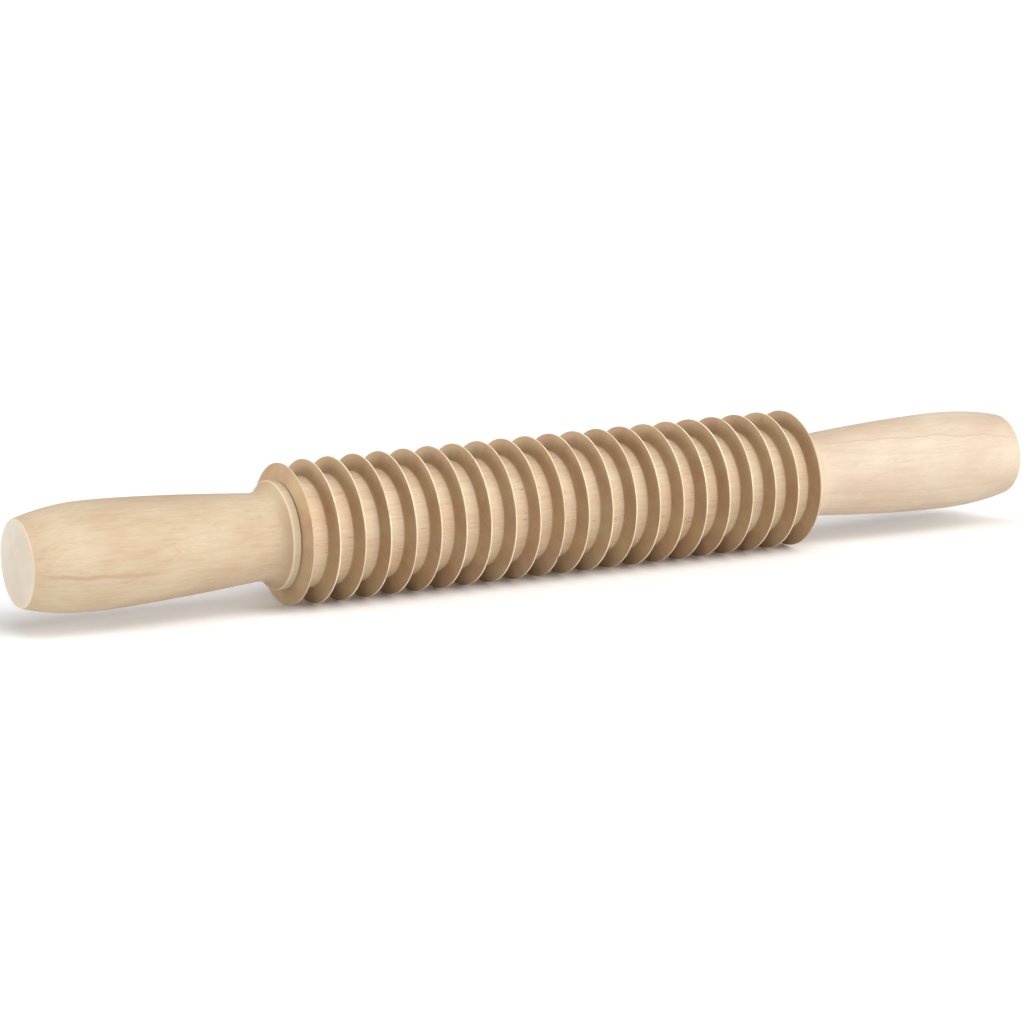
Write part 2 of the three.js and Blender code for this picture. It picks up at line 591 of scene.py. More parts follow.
    across.operation = "MULTIPLY"
    across.inputs[1].default_value = ACROSS_AXLE
    radius.operation = "LENGTH"
    tree.inputs["Location"].default_value = (finish.slip, -finish.pith[0], -finish.pith[1])
    tree.inputs["Rotation"].default_value = (0, finish.lean, finish.lean / 2)
    tree_across.operation = "MULTIPLY"
    tree_across.inputs[1].default_value = ACROSS_AXLE
    tree_distance.operation = "LENGTH"

    drift_stretch.inputs["Scale"].default_value = (9, 34, 34)
    drift.inputs["Scale"].default_value = 1
    drift.inputs["Detail"].default_value = 3
    drift_amount.operation = "MULTIPLY"
    drift_amount.inputs[1].default_value = 1.6
    years.operation = "MULTIPLY_ADD"
    years.inputs[1].default_value = 1 / finish.ring_pitch
    season.operation = "FRACT"
    season_ramp.color_ramp.elements[0].position = 0.0
    season_ramp.color_ramp.elements[0].color = (0, 0, 0, 1)
    season_ramp.color_ramp.elements[1].position = 1.0
    season_ramp.color_ramp.elements[1].color = (0, 0, 0, 1)
    for position, tone in ((0.5, 0.15), (0.8, 0.4), (0.92, 1.0)):
        season_ramp.color_ramp.elements.new(position).color = (tone, tone, tone, 1)
    year_number.operation = "FLOOR"
    year_strength.noise_dimensions = "1D"
    ring_tone.operation = "MULTIPLY"

    fibre_stretch.inputs["Location"].default_value = (finish.slip, 0, 0)
    fibre_stretch.inputs["Scale"].default_value = (110, 1100, 1100)
    fibre.inputs["Scale"].default_value = 1
    fibre.inputs["Detail"].default_value = 4
    fibre.inputs["Roughness"].default_value = 0.65
    fibre_tone.inputs["From Min"].default_value = 0.42
    fibre_tone.inputs["From Max"].default_value = 0.7

    fleck_stretch.inputs["Location"].default_value = (finish.slip, 0, 0)
    fleck_stretch.inputs["Scale"].default_value = (310, 1500, 1500)
    fleck_cells.inputs["Scale"].default_value = 1
    fleck_shape.interpolation_type = "SMOOTHSTEP"
    fleck_shape.inputs["From Min"].default_value = 0.08
    fleck_shape.inputs["From Max"].default_value = 0.42
    fleck_shape.inputs["To Min"].default_value = 1
    fleck_shape.inputs["To Max"].default_value = 0
    fleck_pick.inputs["From Min"].default_value = 0.45
    fleck_pick.inputs["From Max"].default_value = 0.95
    glint_pick.inputs["From Min"].default_value = 0.4
    glint_pick.inputs["From Max"].default_value = 0.05
    fleck_patch.inputs["Scale"].default_value = 70
    fleck_patch.inputs["Detail"].default_value = 2
    fleck_patch_tone.inputs["From Min"].default_value = 0.4
    fleck_patch_tone.inputs["From Max"].default_value = 0.62
    fleck_some.operation = "MULTIPLY"
    fleck_tone.operation = "MULTIPLY"
    glint_tone.operation = "MULTIPLY"

    around.operation = "MULTIPLY"
    around.inputs[1].default_value = -1
    angle.operation = "ARCTAN2"
    course.inputs["From Min"].default_value = finish.streak.start
    course.inputs["From Max"].default_value = finish.streak.end
    course.inputs["To Min"].default_value = finish.streak.angle
    course.inputs["To Max"].default_value = finish.streak.angle + finish.streak.twist
    course.clamp = False
    waver_stretch.operation = "MULTIPLY"
    waver_stretch.inputs[1].default_value = 105
    waver.noise_dimensions = "1D"
    waver.inputs["Scale"].default_value = 1
    waver.inputs["Detail"].default_value = 2
    wavered.operation = "MULTIPLY_ADD"
    wavered.inputs[1].default_value = finish.streak.waver
    off_course.operation = "SUBTRACT"
    off_size.operation = "ABSOLUTE"
    streak_line.interpolation_type = "SMOOTHSTEP"
    streak_line.inputs["From Max"].default_value = finish.streak.width
    streak_line.inputs["To Min"].default_value = finish.streak.strength
    streak_line.inputs["To Max"].default_value = 0
    streak_start.interpolation_type = "SMOOTHSTEP"
    streak_start.inputs["From Min"].default_value = finish.streak.start - finish.streak.faint_before
    streak_start.inputs["From Max"].default_value = finish.streak.start + finish.streak.full_after
    streak_end.interpolation_type = "SMOOTHSTEP"
    streak_end.inputs["From Min"].default_value = finish.streak.end - finish.streak.fade_length
    streak_end.inputs["From Max"].default_value = finish.streak.end
    streak_end.inputs["To Min"].default_value = 1
    streak_end.inputs["To Max"].default_value = 0
    streak_length.operation = "MULTIPLY"
    streak_tone.operation = "MULTIPLY"

    facing_size.operation = "ABSOLUTE"
    end_share.interpolation_type = "SMOOTHSTEP"
    end_share.inputs["From Min"].default_value = 0.12
    end_share.inputs["From Max"].default_value = 0.8
    face_share.interpolation_type = "SMOOTHSTEP"
    face_share.inputs["From Min"].default_value = 0.985
    face_share.inputs["From Max"].default_value = 0.998
    ray_angle.operation = "ARCTAN2"
    ray_stretch.inputs["Scale"].default_value = (110, 330, 60)
    ray.inputs["Scale"].default_value = 1
    ray.inputs["Detail"].default_value = 3
    tear.inputs["Scale"].default_value = 150
    tear.inputs["Detail"].default_value = 6
    tear.inputs["Roughness"].default_value = 0.62
    end_mottle.operation = "MULTIPLY_ADD"
    end_mottle.inputs[1].default_value = 0.45
    blade_number.operation = "DIVIDE"
    blade_number.inputs[1].default_value = finish.tone_pitch
    blade_whole.operation = "FLOOR"
    blade_tone.noise_dimensions = "1D"
    end_tone.operation = "MULTIPLY_ADD"
    end_tone.inputs[1].default_value = 0.3
    olive_noise.noise_dimensions = "4D"
    olive_noise.inputs["Scale"].default_value = 95
    olive_noise.inputs["Detail"].default_value = 2
    olive_tone.inputs["From Min"].default_value = 0.4
    olive_tone.inputs["From Max"].default_value = 0.65
    olive_tone.inputs["To Max"].default_value = 0.75

    tool_marks.noise_dimensions = "2D"
    tool_marks.inputs["Scale"].default_value = 1100
    tool_marks.inputs["Detail"].default_value = 2
    tool_depth.operation = "MULTIPLY"
    tool_depth.inputs[1].default_value = finish.tool_share

    blush_stretch.inputs["Scale"].default_value = (0.55, 1, 1)
    blush_noise.inputs["Scale"].default_value = 75
    blush_noise.inputs["Detail"].default_value = 3
    blush_tone.inputs["From Min"].default_value = 0.38
    blush_tone.inputs["From Max"].default_value = 0.68

    # The blade rims are painted paler all round: part wear, part painted highlight.
    rim.interpolation_type = "SMOOTHSTEP"
    rim.inputs["From Min"].default_value = finish.rim_radius - finish.rim_fade
    rim.inputs["From Max"].default_value = finish.rim_radius
    rim_wear_and_highlight.inputs["From Min"].default_value = 0.35
    rim_wear_and_highlight.inputs["From Max"].default_value = 0.6
    rim_wear_and_highlight.inputs["To Min"].default_value = 0.25
    rim_wear_and_highlight.inputs["To Max"].default_value = 0.8
    rim_tone.operation = "MULTIPLY"
    either_side.operation = "ABSOLUTE"
    for distance, share, union, (along, out) in zip(
        edge_distances, edge_shares, edge_unions, finish.rubbed_and_highlit_rings
    ):
        distance.operation = "DISTANCE"
        distance.inputs[1].default_value = (along, out, 0)
        share.interpolation_type = "SMOOTHSTEP"
        share.inputs["From Min"].default_value = finish.edge_rubbed_and_highlit
        share.inputs["From Max"].default_value = finish.edge_fade
        share.inputs["To Min"].default_value = 0.5
        share.inputs["To Max"].default_value = 0
        union.operation = "MAXIMUM"

    for mix in (with_rings, with_fibres, with_flecks, with_glints, end_colour, end_tinted, end_faced,
                wood_colour, blushed, streaked, rubbed_and_highlit_colour):
        mix.data_type = "RGBA"
    blushed.blend_type = "MULTIPLY"
    with_rings.inputs["A"].default_value = finish.pale
    with_rings.inputs["B"].default_value = finish.late
    with_fibres.inputs["B"].default_value = finish.fibre
    with_flecks.inputs["B"].default_value = finish.fleck
    with_glints.inputs["B"].default_value = finish.glint
    end_colour.inputs["A"].default_value = finish.end_pale
    end_colour.inputs["B"].default_value = finish.end_deep
    end_tinted.inputs["B"].default_value = finish.end_olive
    end_faced.inputs["B"].default_value = finish.sawn_face
    blushed.inputs["B"].default_value = finish.blush
    streaked.inputs["B"].default_value = finish.streak.tint
    # The colour of worn edges, which also carries a painted highlight.
    rubbed_and_highlit_colour.inputs["B"].default_value = finish.rubbed_and_highlit

    fibre_height.operation = "MULTIPLY_ADD"
    fibre_height.inputs[1].default_value = 0.5
    wood_height.operation = "SUBTRACT"
    bump.inputs["Strength"].default_value = 0.3
    bump.inputs["Distance"].default_value = finish.relief
    sheen.inputs["To Min"].default_value = 0.52
    sheen.inputs["To Max"].default_value = 0.75
    surface.inputs["Specular IOR Level"].default_value = 0.3

    links.new(coords.outputs["Object"], split.inputs["Vector"])
    links.new(coords.outputs["Object"], across.inputs[0])
    links.new(across.outputs["Vector"], radius.inputs[0])
    links.new(coords.outputs["Object"], tree.inputs["Vector"])
    links.new(tree.outputs["Vector"], tree_across.inputs[0])
    links.new(tree_across.outputs["Vector"], tree_distance.inputs[0])
    links.new(tree.outputs["Vector"], tree_split.inputs["Vector"])

    links.new(tree.outputs["Vector"], drift_stretch.inputs["Vector"])
    links.new(drift_stretch.outputs["Vector"], drift.inputs["Vector"])
    links.new(drift.outputs["Fac"], drift_amount.inputs[0])
    links.new(tree_distance.outputs["Value"], years.inputs[0])
    links.new(drift_amount.outputs["Value"], years.inputs[2])
    links.new(years.outputs["Value"], season.inputs[0])
    links.new(season.outputs["Value"], season_ramp.inputs["Fac"])
    links.new(years.outputs["Value"], year_number.inputs[0])
    links.new(year_number.outputs["Value"], year_strength.inputs["W"])
    links.new(season_ramp.outputs["Color"], ring_tone.inputs[0])
    links.new(year_strength.outputs["Value"], ring_tone.inputs[1])

    links.new(coords.outputs["Object"], fibre_stretch.inputs["Vector"])
    links.new(fibre_stretch.outputs["Vector"], fibre.inputs["Vector"])
    links.new(fibre.outputs["Fac"], fibre_tone.inputs["Value"])

    links.new(coords.outputs["Object"], fleck_stretch.inputs["Vector"])
    links.new(fleck_stretch.outputs["Vector"], fleck_cells.inputs["Vector"])
    links.new(fleck_cells.outputs["Distance"], fleck_shape.inputs["Value"])
    links.new(fleck_cells.outputs["Color"], fleck_colour.inputs["Color"])
    links.new(fleck_colour.outputs["Red"], fleck_pick.inputs["Value"])
    links.new(fleck_colour.outputs["Red"], glint_pick.inputs["Value"])
    links.new(tree.outputs["Vector"], fleck_patch.inputs["Vector"])
    links.new(fleck_patch.outputs["Fac"], fleck_patch_tone.inputs["Value"])
    links.new(fleck_shape.outputs["Result"], fleck_some.inputs[0])
    links.new(fleck_pick.outputs["Result"], fleck_some.inputs[1])
    links.new(fleck_some.outputs["Value"], fleck_tone.inputs[0])
    links.new(fleck_patch_tone.outputs["Result"], fleck_tone.inputs[1])
    links.new(fleck_shape.outputs["Result"], glint_tone.inputs[0])
    links.new(glint_pick.outputs["Result"], glint_tone.inputs[1])

    links.new(split.outputs["Y"], around.inputs[0])
    links.new(split.outputs["Z"], angle.inputs[0])
    links.new(around.outputs["Value"], angle.inputs[1])
    links.new(split.outputs["X"], course.inputs["Value"])
    links.new(split.outputs["X"], waver_stretch.inputs[0])
    links.new(waver_stretch.outputs["Value"], waver.inputs["W"])
    links.new(waver.outputs["Fac"], wavered.inputs[0])
    links.new(course.outputs["Result"], wavered.inputs[2])
    links.new(angle.outputs["Value"], off_course.inputs[0])
    links.new(wavered.outputs["Value"], off_course.inputs[1])
    links.new(off_course.outputs["Value"], off_size.inputs[0])
    links.new(off_size.outputs["Value"], streak_line.inputs["Value"])
    links.new(split.outputs["X"], streak_start.inputs["Value"])
    links.new(split.outputs["X"], streak_end.inputs["Value"])
    links.new(streak_start.outputs["Result"], streak_length.inputs[0])
    links.new(streak_end.outputs["Result"], streak_length.inputs[1])
    links.new(streak_line.outputs["Result"], streak_tone.inputs[0])
    links.new(streak_length.outputs["Value"], streak_tone.inputs[1])

    links.new(coords.outputs["Normal"], facing.inputs["Vector"])
    links.new(facing.outputs["X"], facing_size.inputs[0])
    links.new(facing_size.outputs["Value"], end_share.inputs["Value"])
    links.new(facing_size.outputs["Value"], face_share.inputs["Value"])
    links.new(tree_split.outputs["Z"], ray_angle.inputs[0])
    links.new(tree_split.outputs["Y"], ray_angle.inputs[1])
    links.new(ray_angle.outputs["Value"], ray_place.inputs["X"])
    links.new(tree_distance.outputs["Value"], ray_place.inputs["Y"])
    links.new(tree_split.outputs["X"], ray_place.inputs["Z"])
    links.new(ray_place.outputs["Vector"], ray_stretch.inputs["Vector"])
    links.new(ray_stretch.outputs["Vector"], ray.inputs["Vector"])
    links.new(tree.outputs["Vector"], tear.inputs["Vector"])
    links.new(ray.outputs["Fac"], end_mottle.inputs[0])
    links.new(tear.outputs["Fac"], end_mottle.inputs[2])
    links.new(split.outputs["X"], blade_number.inputs[0])
    links.new(blade_number.outputs["Value"], blade_whole.inputs[0])
    links.new(blade_whole.outputs["Value"], blade_tone.inputs["W"])
    links.new(blade_tone.outputs["Value"], end_tone.inputs[0])
    links.new(end_mottle.outputs["Value"], end_tone.inputs[2])
    links.new(coords.outputs["Object"], olive_noise.inputs["Vector"])
    links.new(blade_whole.outputs["Value"], olive_noise.inputs["W"])
    links.new(olive_noise.outputs["Fac"], olive_tone.inputs["Value"])

    links.new(split.outputs["X"], tool_place.inputs["X"])
    links.new(radius.outputs["Value"], tool_place.inputs["Y"])
    links.new(tool_place.outputs["Vector"], tool_marks.inputs["Vector"])

    links.new(tree.outputs["Vector"], blush_stretch.inputs["Vector"])
    links.new(blush_stretch.outputs["Vector"], blush_noise.inputs["Vector"])
    links.new(blush_noise.outputs["Fac"], blush_tone.inputs["Value"])

    links.new(radius.outputs["Value"], rim.inputs["Value"])
    links.new(tear.outputs["Fac"], rim_wear_and_highlight.inputs["Value"])
    links.new(rim.outputs["Result"], rim_tone.inputs[0])
    links.new(rim_wear_and_highlight.outputs["Result"], rim_tone.inputs[1])
    links.new(split.outputs["X"], either_side.inputs[0])
    links.new(either_side.outputs["Value"], edge_place.inputs["X"])
    links.new(radius.outputs["Value"], edge_place.inputs["Y"])
    rubbed_and_highlit_share = rim_tone.outputs["Value"]
    for distance, share, union in zip(edge_distances, edge_shares, edge_unions):
        links.new(edge_place.outputs["Vector"], distance.inputs[0])
        links.new(distance.outputs["Value"], share.inputs["Value"])
        links.new(rubbed_and_highlit_share, union.inputs[0])
        links.new(share.outputs["Result"], union.inputs[1])
        rubbed_and_highlit_share = union.outputs["Value"]

    links.new(ring_tone.outputs["Value"], with_rings.inputs["Factor"])
    links.new(with_rings.outputs["Result"], with_fibres.inputs["A"])
    links.new(fibre_tone.outputs["Result"], with_fibres.inputs["Factor"])
    links.new(with_fibres.outputs["Result"], with_flecks.inputs["A"])
    links.new(fleck_tone.outputs["Value"], with_flecks.inputs["Factor"])
    links.new(with_flecks.outputs["Result"], with_glints.inputs["A"])
    links.new(glint_tone.outputs["Value"], with_glints.inputs["Factor"])
    links.new(end_tone.outputs["Value"], end_colour.inputs["Factor"])
    links.new(end_colour.outputs["Result"], end_tinted.inputs["A"])
    links.new(olive_tone.outputs["Result"], end_tinted.inputs["Factor"])
    links.new(end_tinted.outputs["Result"], end_faced.inputs["A"])
    links.new(face_share.outputs["Result"], end_faced.inputs["Factor"])
    links.new(with_glints.outputs["Result"], wood_colour.inputs["A"])
    links.new(end_faced.outputs["Result"], wood_colour.inputs["B"])
    links.new(end_share.outputs["Result"], wood_colour.inputs["Factor"])
    links.new(wood_colour.outputs["Result"], blushed.inputs["A"])
    links.new(blush_tone.outputs["Result"], blushed.inputs["Factor"])
    links.new(blushed.outputs["Result"], streaked.inputs["A"])
    links.new(streak_tone.outputs["Value"], streaked.inputs["Factor"])
    links.new(streaked.outputs["Result"], rubbed_and_highlit_colour.inputs["A"])
    # Worn edges and their painted highlight go over all the other colour.
    links.new(rubbed_and_highlit_share, rubbed_and_highlit_colour.inputs["Factor"])

    links.new(fibre.outputs["Fac"], fibre_height.inputs[0])
    links.new(tool_marks.outputs["Fac"], tool_depth.inputs[0])
    links.new(tool_depth.outputs["Value"], fibre_height.inputs[2])
    links.new(fibre_height.outputs["Value"], wood_height.inputs[0])
    links.new(fleck_tone.outputs["Value"], wood_height.inputs[1])
    links.new(wood_height.outputs["Value"], bump.inputs["Height"])
    links.new(fibre.outputs["Fac"], sheen.inputs["Value"])
    links.new(rubbed_and_highlit_colour.outputs["Result"], surface.inputs["Base Color"])
    links.new(sheen.outputs["Result"], surface.inputs["Roughness"])
    links.new(bump.outputs["Normal"], surface.inputs["Normal"])
    links.new(surface.outputs["BSDF"], output.inputs["Surface"])
    return material


@dataclass(frozen=True)
class TurnedFinish:
    """A turned or moulded finish with fine rings round the axis.

    Args:
        name: The material's name.
        base: The main colour.
        worn: The colour where it is worn.
        metallic: 1 for metal, 0 for plastic.
        smooth: Its roughness at the smoothest.
        dull: Its roughness at the dullest.
        score_scale: How many scores to a metre.
        score_depth: How deep the scores are.
    """

    name: str
    base: Colour
    worn: Colour
    metallic: float
    smooth: float
    dull: float
    score_scale: float
    score_depth: float


def scored(finish: TurnedFinish) -> bpy.types.Material:
    """Makes a hard finish with fine scores round the axis and worn patches.

    Args:
        finish: Its colours, roughness and scores.

    Returns:
        The material.
    """
    material = bpy.data.materials.new(finish.name)
    material.use_nodes = True
    nodes = material.node_tree.nodes
    links = material.node_tree.links
    nodes.clear()

    coords = nodes.new("ShaderNodeTexCoord")
    coords.label = "Place on the piece"
    split = nodes.new("ShaderNodeSeparateXYZ")
    split.label = "Along the axle"
    across = nodes.new("ShaderNodeVectorMath")
    across.label = "Across the axle"
    radius = nodes.new("ShaderNodeVectorMath")
    radius.label = "Distance from the axle's middle"
    score_place = nodes.new("ShaderNodeCombineXYZ")
    score_place.label = "Along and out, the same all round"
    scores = nodes.new("ShaderNodeTexNoise")
    scores.label = "Fine scores"
    patches = nodes.new("ShaderNodeTexNoise")
    patches.label = "Worn patches"
    worn_share = nodes.new("ShaderNodeMapRange")
    worn_share.label = "Edge of a worn patch"
    wear = nodes.new("ShaderNodeMix")
    wear.label = "Wear"
    polish = nodes.new("ShaderNodeMapRange")
    polish.label = "Smooth and dull scores"
    bump = nodes.new("ShaderNodeBump")
    bump.label = "Depth of the scores"
    surface = nodes.new("ShaderNodeBsdfPrincipled")
    surface.label = finish.name
    output = nodes.new("ShaderNodeOutputMaterial")
    output.label = finish.name

    frame_nodes(nodes, {
        "Place on the piece": [coords, split, across, radius],
        "Scores": [score_place, scores, polish, bump],
        "Wear": [patches, worn_share, wear],
        "Output": [surface, output],
    })

    across.operation = "MULTIPLY"
    across.inputs[1].default_value = ACROSS_AXLE
    radius.operation = "LENGTH"
    scores.noise_dimensions = "2D"
    scores.inputs["Scale"].default_value = finish.score_scale
    scores.inputs["Detail"].default_value = 3
    patches.inputs["Scale"].default_value = 220
    patches.inputs["Detail"].default_value = 4
    worn_share.inputs["From Min"].default_value = 0.45
    worn_share.inputs["From Max"].default_value = 0.7
    wear.data_type = "RGBA"
    wear.inputs["A"].default_value = finish.base
    wear.inputs["B"].default_value = finish.worn
    polish.inputs["To Min"].default_value = finish.smooth
    polish.inputs["To Max"].default_value = finish.dull
    bump.inputs["Strength"].default_value = 0.4
    bump.inputs["Distance"].default_value = finish.score_depth
    surface.inputs["Metallic"].default_value = finish.metallic

    links.new(coords.outputs["Object"], split.inputs["Vector"])
    links.new(coords.outputs["Object"], across.inputs[0])
    links.new(across.outputs["Vector"], radius.inputs[0])
    links.new(split.outputs["X"], score_place.inputs["X"])
    links.new(radius.outputs["Value"], score_place.inputs["Y"])
    links.new(score_place.outputs["Vector"], scores.inputs["Vector"])
    links.new(scores.outputs["Fac"], polish.inputs["Value"])
    links.new(scores.outputs["Fac"], bump.inputs["Height"])
    links.new(coords.outputs["Object"], patches.inputs["Vector"])
    links.new(patches.outputs["Fac"], worn_share.inputs["Value"])
    links.new(worn_share.outputs["Result"], wear.inputs["Factor"])
    links.new(wear.outputs["Result"], surface.inputs["Base Color"])
    links.new(polish.outputs["Result"], surface.inputs["Roughness"])
    links.new(bump.outputs["Normal"], surface.inputs["Normal"])
    links.new(surface.outputs["BSDF"], output.inputs["Surface"])
    return material


DRAWN_STEEL = TurnedFinish(
    name="drawn_steel",
    base=colour(176, 178, 182),
    worn=colour(148, 149, 152),
    metallic=1,
    smooth=0.22,
    dull=0.42,
    score_scale=2400,
    score_depth=0.01 * MM,
)
STAMPED_STEEL = TurnedFinish(
    name="stamped_steel",
    base=colour(190, 191, 192),
    worn=colour(160, 160, 160),
    metallic=1,
    smooth=0.3,
    dull=0.5,
    score_scale=3200,
    score_depth=0.01 * MM,
)
MOULDED_NYLON = TurnedFinish(
    name="moulded_nylon",
    base=colour(238, 235, 224),
    worn=colour(222, 216, 198),
    metallic=0,
    smooth=0.38,
    dull=0.55,
    score_scale=900,
    score_depth=0.02 * MM,
)


def place_piece(piece: bpy.types.Object, material: bpy.types.Material, body: str,
                nodes: Iterable[str]) -> None:
    """Dresses a finished piece and ties it to the frame.

    Args:
        piece: The piece.
        material: Its finish.
        body: The CAD body that it rides on.
        nodes: The CAD nodes that it stands for.
    """
    piece.data.materials.append(material)
    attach(piece, body)
    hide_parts(*nodes)
    LOG.info("%s rides on %s", piece.name, body)


@dataclass(frozen=True)
class Unevenness:
    """A slight unevenness in a turned surface.

    Args:
        name: Its name.
        size: How far apart its highs and lows lie.
        depth: How far it moves the surface in all, from the lowest to the highest.
    """

    name: str
    size: float
    depth: float

    def leave_on(self, piece: bpy.types.Object) -> None:
        """Leaves the unevenness on a piece.

        Args:
            piece: The piece.
        """
        texture = bpy.data.textures.new(f"{piece.name}_{self.name}", "CLOUDS")
        texture.noise_scale = self.size
        displace = piece.modifiers.new(self.name, "DISPLACE")
        displace.texture = texture
        displace.texture_coords = "LOCAL"
        displace.strength = self.depth


@dataclass(frozen=True)
class BearingSeat:
    """The bored end of the roller, where a bushing is pressed in.

    Args:
        flange_radius: The bushing's flange.
        flange_play: The play round the flange in its recess.
        recess_depth: The depth of the flange's recess.
        sleeve_radius: The seat for the bushing's sleeve.
        sleeve_depth: The seat's depth, from the roller's end.
        bore_radius: The clear bore between the two seats.
        edge_rounding: The rounding of the edges that stand in the bore.
    """

    flange_radius: float
    flange_play: float = 0.1 * MM
    recess_depth: float = 1.6 * MM
    sleeve_radius: float = 8.05 * MM
    sleeve_depth: float = 16.1 * MM
    bore_radius: float = 5 * MM
    edge_rounding: float = 0.2 * MM

    def corners(self, end: End, half_length: float) -> list[Corner]:
        """Lays the seat's corners from the roller's end face inwards.

        Args:
            end: Which end of the roller.
            half_length: From the roller's middle to its end face.

        Returns:
            The corners.
        """
        face = end.value * half_length
        recess_floor = end.value * (half_length - self.recess_depth)
        seat_floor = end.value * (half_length - self.sleeve_depth)
        recess_radius = self.flange_radius + self.flange_play
        return [
            Corner(face, recess_radius, self.edge_rounding),
            Corner(recess_floor, recess_radius),
            Corner(recess_floor, self.sleeve_radius, self.edge_rounding),
            Corner(seat_floor, self.sleeve_radius),
            Corner(seat_floor, self.bore_radius, self.edge_rounding),
        ]


@dataclass(frozen=True)
class Nick:
    """A small dent in a blade's rim.

    Args:
        blade: The blade's number, from the left.
        angle: Its place round the rim, from the front, upwards.
        width: Its width along the rim.
        depth: Its depth.
    """

    blade: int
    angle: float
    width: float
    depth: float


@dataclass
class Roller:
    """The grooved roller: a core and its ring blades, turned from one piece of beech.

    Args:
        blades: The blades' CAD nodes, from the left.
        half_length: From its middle to an end face.
        core_radius: The floor of the grooves.
        blade_radius: The blades' rims.
        blade_places: The middle of each blade along X.
        base_width: A blade's width at the floor.
        seat: The bored ends.
        rim_width: A blade's width at its rim.
        rim_rounding: The rounding of a rim's two edges.
        root_rounding: The fillet between the floor and a blade.
        hand_error: How far the turner's hand strays from the pattern.
        hand_seed: The seed that the hand's straying comes from.
        first_short: How much lower the first blade is than the others.
        last_short: How much lower the last blade is than the others.
        rubbed_and_highlit_depth: How far below its rim a blade is fully worn pale and painted with a
            highlight.
        facets: Facets round the axis.
        unevenness: The slow drift of the tool, and the grain that it lifts.
        nicks: Dents in the rims.
    """

    blades: Sequence[str]
    half_length: float
    core_radius: float
    blade_radius: float
    blade_places: Sequence[float]
    base_width: float
    seat: BearingSeat
    rim_width: float = 0.42 * MM
    rim_rounding: float = 0.16 * MM
    root_rounding: float = 0.38 * MM
    hand_error: float = 0.06 * MM
    hand_seed: int = 22
    first_short: float = 0.38 * MM
    last_short: float = 0.16 * MM
    rubbed_and_highlit_depth: float = 0.02 * MM
    facets: int = 192
    unevenness: Sequence[Unevenness] = (
        Unevenness("turning_drift", size=26 * MM, depth=0.12 * MM),
        Unevenness("grain_lift", size=1.8 * MM, depth=0.05 * MM),
    )
    nicks: Sequence[Nick] = (
        Nick(blade=11, angle=math.radians(-38), width=1.6 * MM, depth=0.35 * MM),
        Nick(blade=4, angle=math.radians(21), width=1.1 * MM, depth=0.16 * MM),
        Nick(blade=17, angle=math.radians(-12), width=1.3 * MM, depth=0.18 * MM),
    )

    @classmethod
    def from_frame(cls) -> "Roller":
        """Takes the roller's sizes from the frame.

        Returns:
            The roller.
        """
        blades = sorted(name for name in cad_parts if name.startswith("blade_"))
        boxes = [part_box(blade) for blade in blades]
        core_low, core_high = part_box("roller_core")
        return cls(
            blades=blades,
            half_length=(core_high[0] - core_low[0]) / 2,
            core_radius=full_radius("roller_core", WOOD_FACETS),
            blade_radius=full_radius(blades[0], WOOD_FACETS),
            blade_places=[(low[0] + high[0]) / 2 for low, high in boxes],
            base_width=boxes[0][1][0] - boxes[0][0][0],
            seat=BearingSeat(full_radius("right_bushing", METAL_FACETS)),
        )

    def finish(self) -> BeechFinish:
        """Describes the roller's wood, whose blades show much end grain.

        Returns:
            The finish.
        """
        return BeechFinish(
            name="roller_beech",
            pale=colour(205, 185, 157),
            late=colour(191, 167, 138),
            fibre=colour(195, 171, 141),
            fleck=colour(174, 147, 114),
            glint=colour(214, 193, 164),
            end_pale=colour(201, 177, 148),
            end_deep=colour(170, 141, 111),
            end_olive=colour(181, 159, 121),
            sawn_face=colour(198, 172, 140),
            blush=colour(252, 242, 237),
            # Rims worn pale, with a painted highlight along them
            rubbed_and_highlit=colour(238, 219, 190),
            pith=(38 * MM, 46 * MM),
            lean=math.radians(1.5),
            ring_pitch=3.1 * MM,
            slip=0.31,
            rim_radius=self.blade_radius - self.rubbed_and_highlit_depth,
            rubbed_and_highlit_rings=(),
            tone_pitch=self.blade_places[1] - self.blade_places[0],
            tool_share=0.75,
            streak=Streak(
                start=-20 * MM,
                end=60 * MM,
                angle=math.radians(-62),
                twist=math.radians(6),
                width=math.radians(4),
                waver=math.radians(6),
                strength=0.4,
                tint=colour(170, 142, 110),
            ),
        )

    def outline(self) -> list[Corner]:
        """Lays the roller's outline: its blades from the left, then its bore.

        Returns:
            The corners.
        """
        hand = random.Random(self.hand_seed)
        corners = []
        last = len(self.blade_places) - 1
        for number, place in enumerate(self.blade_places):
            lean = hand.uniform(-1, 1) * self.hand_error
            height = hand.uniform(-1, 0) * self.hand_error
            if number == 0:
                height -= self.first_short
            if number == last:
                height -= self.last_short
            left_root = 0.0 if number == 0 else hand.uniform(-1, 1) * self.hand_error
            right_root = 0.0 if number == last else hand.uniform(-1, 1) * self.hand_error
            rim_low = place + lean - self.rim_width / 2
            rim_high = place + lean + self.rim_width / 2
            corners += [
                Corner(place - self.base_width / 2 + left_root, self.core_radius, self.root_rounding),
                Corner(rim_low, self.blade_radius + height, self.rim_rounding),
                Corner(rim_high, self.blade_radius + height, self.rim_rounding),
                Corner(place + self.base_width / 2 + right_root, self.core_radius, self.root_rounding),
            ]
        corners += self.seat.corners(End.RIGHT, self.half_length)
        corners += reversed(self.seat.corners(End.LEFT, self.half_length))
        return corners

